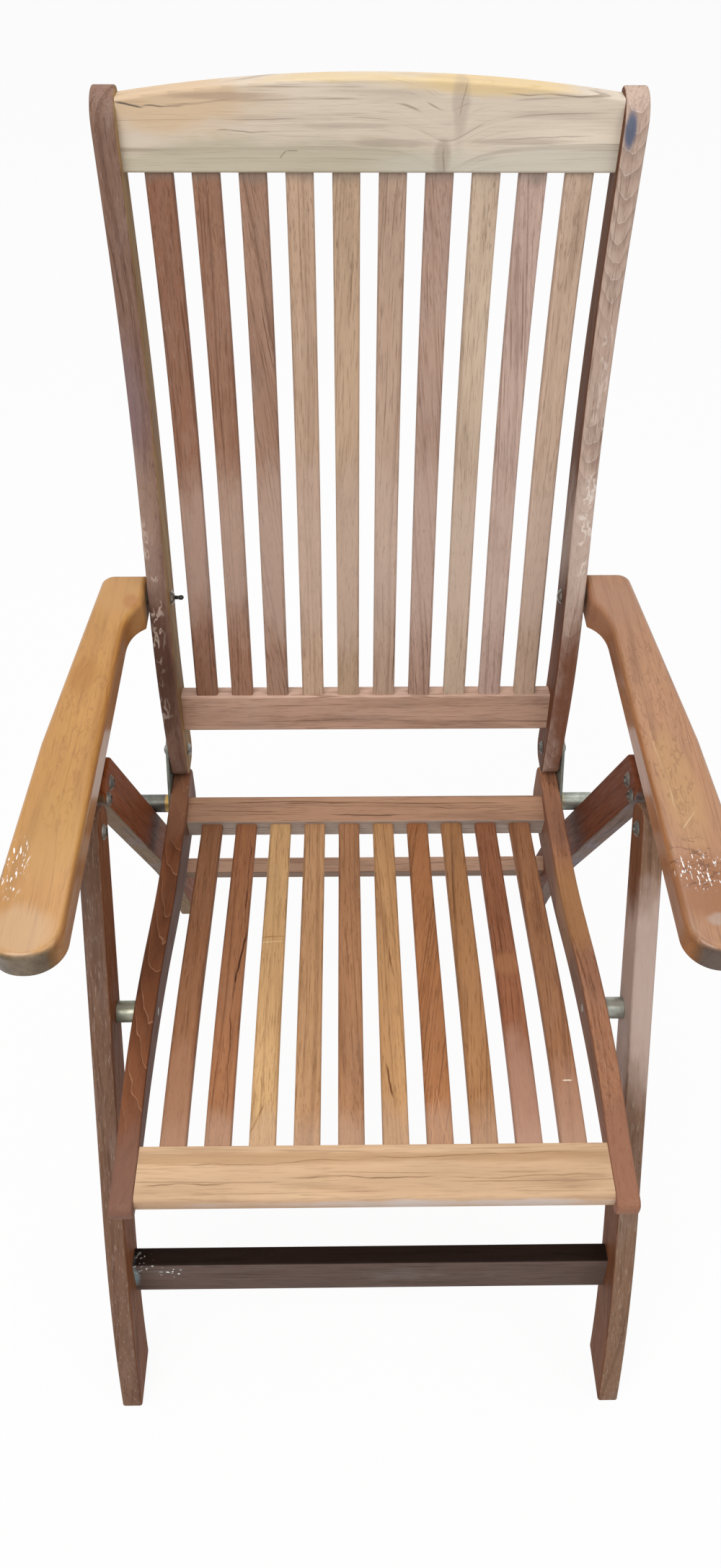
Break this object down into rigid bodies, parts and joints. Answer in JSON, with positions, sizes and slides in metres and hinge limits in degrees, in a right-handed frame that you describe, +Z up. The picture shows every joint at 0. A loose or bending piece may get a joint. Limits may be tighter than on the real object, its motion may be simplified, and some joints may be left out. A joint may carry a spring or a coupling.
{
  "type": "folding reclining deck chair",
  "caption": "Folding wooden armchair with slatted seat and high curved slatted back, crossed legs on bolt pivots and notched arms that set the recline.",
  "frame": {"origin": "on the floor under the middle of the chair, left to right and front to back", "axes": "+Z up, front of the chair towards -Y, +X towards the right of the picture, which is the left hand of someone seated"},
  "size_m": [0.62, 0.7373, 1.114],
  "materials": {
    "frame_wood": "weathered hardwood, worn oil",
    "slats": "weathered hardwood, tone varies from slat to slat",
    "left_armrest": "honey-coloured hardwood, worn varnish",
    "right_armrest": "brown hardwood, worn varnish",
    "plates": "dull galvanised",
    "fasteners": "weathered zinc"
  },
  "bodies": {
    "seat": {"left_seat_rail": "frame_wood", "right_seat_rail": "frame_wood", "seat_front_rail": "frame_wood", "seat_rear_rail": "frame_wood", "seat_slat_01": "slats", "seat_slat_02": "slats", "seat_slat_03": "slats", "seat_slat_04": "slats", "seat_slat_05": "slats", "seat_slat_06": "slats", "seat_slat_07": "slats", "seat_slat_08": "slats", "seat_slat_09": "slats", "seat_slat_10": "slats", "left_hinge_plate": "plates", "right_hinge_plate": "plates", "front_spacer_tubes": "fasteners", "rear_support_tubes": "fasteners", "rear_support_bolts": "fasteners", "leg_pivot_bolts": "fasteners"},
    "hinge_bolts": {"back_hinge_bolts": "fasteners", "back_hinge_nuts": "fasteners"},
    "back": {"left_back_stile": "frame_wood", "right_back_stile": "frame_wood", "back_low_rail": "frame_wood", "back_top_rail": "frame_wood", "back_slat_01": "slats", "back_slat_02": "slats", "back_slat_03": "slats", "back_slat_04": "slats", "back_slat_05": "slats", "back_slat_06": "slats", "back_slat_07": "slats", "back_slat_08": "slats", "back_slat_09": "slats", "back_slat_10": "slats"},
    "arm_bolts": {"arm_pivot_bolts": "fasteners"},
    "arm_washers": {"arm_pivot_washers": "fasteners"},
    "left_arm": {"left_armrest": "left_armrest", "left_arm_rack": "frame_wood"},
    "right_arm": {"right_armrest": "right_armrest", "right_arm_rack": "frame_wood"},
    "front_legs": {"left_front_leg": "frame_wood", "right_front_leg": "frame_wood", "front_stretcher": "frame_wood"},
    "rear_legs": {"left_rear_leg": "frame_wood", "right_rear_leg": "frame_wood", "rear_stretcher": "frame_wood", "left_top_plate": "plates", "right_top_plate": "plates", "top_pivot_bolts": "fasteners", "top_pivot_nuts": "fasteners", "top_plate_bolts": "fasteners", "top_plate_nuts": "fasteners", "arm_stop_pins": "fasteners"}
  },
  "joints": [
    {"name": "fold", "type": "hinge", "parent": "seat", "child": "hinge_bolts", "pos_m": [0, 0.218, 0.43], "axis": [1, 0, 0], "range_deg": [0, 93]},
    {"name": "recline", "type": "hinge", "parent": "hinge_bolts", "child": "back", "pos_m": [0, 0.218, 0.43], "axis": [-1, 0, 0], "range_deg": [0, 35]},
    {"name": "arm_tilt", "type": "hinge", "parent": "back", "child": "arm_bolts", "pos_m": [0, 0.243, 0.632], "axis": [1, 0, 0], "range_deg": [0, 26.25]},
    {"name": "arm_fold", "type": "hinge", "parent": "arm_bolts", "child": "arm_washers", "pos_m": [0, 0.243, 0.632], "axis": [-1, 0, 0], "range_deg": [0, 104.16]},
    {"name": "left_arm_lift", "type": "hinge", "parent": "arm_washers", "child": "left_arm", "pos_m": [0, 0.243, 0.632], "axis": [-1, 0, 0], "range_deg": [0, 60]},
    {"name": "right_arm_lift", "type": "hinge", "parent": "arm_washers", "child": "right_arm", "pos_m": [0, 0.243, 0.632], "axis": [-1, 0, 0], "range_deg": [0, 60]},
    {"name": "front_leg_fold", "type": "hinge", "parent": "seat", "child": "front_legs", "pos_m": [0, -0.131, 0.409], "axis": [-1, 0, 0], "range_deg": [0, 66.03]},
    {"name": "rear_leg_fold", "type": "hinge", "parent": "front_legs", "child": "rear_legs", "pos_m": [0, -0.048, 0.581], "axis": [-1, 0, 0], "range_deg": [0, 55.8]}
  ],
  "couplings": [
    {"joint": "arm_tilt", "follows": "recline", "ratio": 0.75},
    {"joint": "arm_fold", "follows": "fold", "ratio": 1.12},
    {"joint": "front_leg_fold", "follows": "fold", "ratio": 0.71},
    {"joint": "rear_leg_fold", "follows": "fold", "ratio": 0.6}
  ]
}
